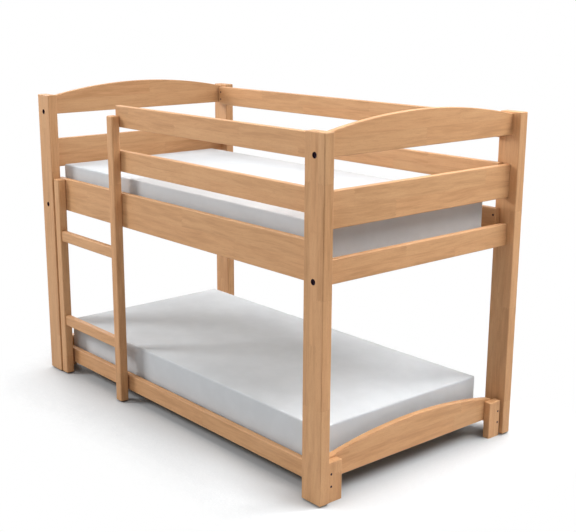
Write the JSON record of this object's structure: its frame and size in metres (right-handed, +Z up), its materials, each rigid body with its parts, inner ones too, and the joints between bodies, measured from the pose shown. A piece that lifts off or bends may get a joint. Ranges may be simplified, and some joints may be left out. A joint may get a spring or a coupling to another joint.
{
  "type": "bunk bed",
  "caption": "Low beech bunk bed with guard rails, upright ladder, arched ends, a separate slatted low bed inside the frame and a mattress on each level.",
  "frame": {"origin": "on the floor, at the middle of the frame's length and width", "axes": "+X along the bed towards the end away from the ladder, +Y from the ladder side to the back, +Z up"},
  "size_m": [2.064, 1.13, 1.4529],
  "materials": {
    "beech": "clear satin lacquer on solid beech staves",
    "slat_wood": "planed, unlacquered",
    "dowel_wood": "plain beech dowel",
    "steel": "dark zinc",
    "glide_plastic": "matt moulded",
    "mattress_cover": "plain white knitted cover"
  },
  "bodies": {
    "frame": {"front_left_post": "beech", "front_right_post": "beech", "back_left_post": "beech", "back_right_post": "beech", "left_arch_rail": "beech", "left_mid_rail": "beech", "left_low_rail": "beech", "right_arch_rail": "beech", "right_mid_rail": "beech", "right_low_rail": "beech", "front_side_rail": "beech", "front_mid_guard": "beech", "front_top_guard": "beech", "back_side_rail": "beech", "back_mid_guard": "beech", "back_top_guard": "beech", "ladder_left_stile": "beech", "ladder_right_stile": "beech", "lower_rung": "beech", "upper_rung": "beech", "upper_front_ledger": "slat_wood", "upper_back_ledger": "slat_wood", "upper_slats": "slat_wood", "frame_bolts": "steel", "frame_barrel_nuts": "steel", "end_rail_dowels": "dowel_wood", "rail_screws": "steel", "ladder_bolts": "steel", "ladder_barrel_nuts": "steel", "rung_dowels": "dowel_wood", "upper_slat_screws": "steel", "upper_ledger_screws": "steel", "floor_glides": "glide_plastic"},
    "upper_mattress": {"upper_mattress": "mattress_cover"},
    "low_bed": {"low_front_left_post": "beech", "low_back_left_post": "beech", "low_front_right_post": "beech", "low_back_right_post": "beech", "low_left_end_board": "beech", "low_right_end_board": "beech", "low_front_side_rail": "beech", "low_back_side_rail": "beech", "lower_front_ledger": "slat_wood", "lower_back_ledger": "slat_wood", "lower_slats": "slat_wood", "low_post_screws": "steel", "end_board_screws": "steel", "lower_slat_screws": "steel", "lower_ledger_screws": "steel"},
    "lower_mattress": {"lower_mattress": "mattress_cover"}
  },
  "joints": [
    {"name": "upper_mattress_lift", "type": "slide", "parent": "frame", "child": "upper_mattress", "axis": [0, 0, 1], "range_m": [0, 0.56]},
    {"name": "low_bed_slide", "type": "slide", "parent": "frame", "child": "low_bed", "axis": [1, 0, 0], "range_m": [-2.06, 2.06]},
    {"name": "lower_mattress_lift", "type": "slide", "parent": "low_bed", "child": "lower_mattress", "axis": [0, 0, 1], "range_m": [0, 0.55]}
  ]
}
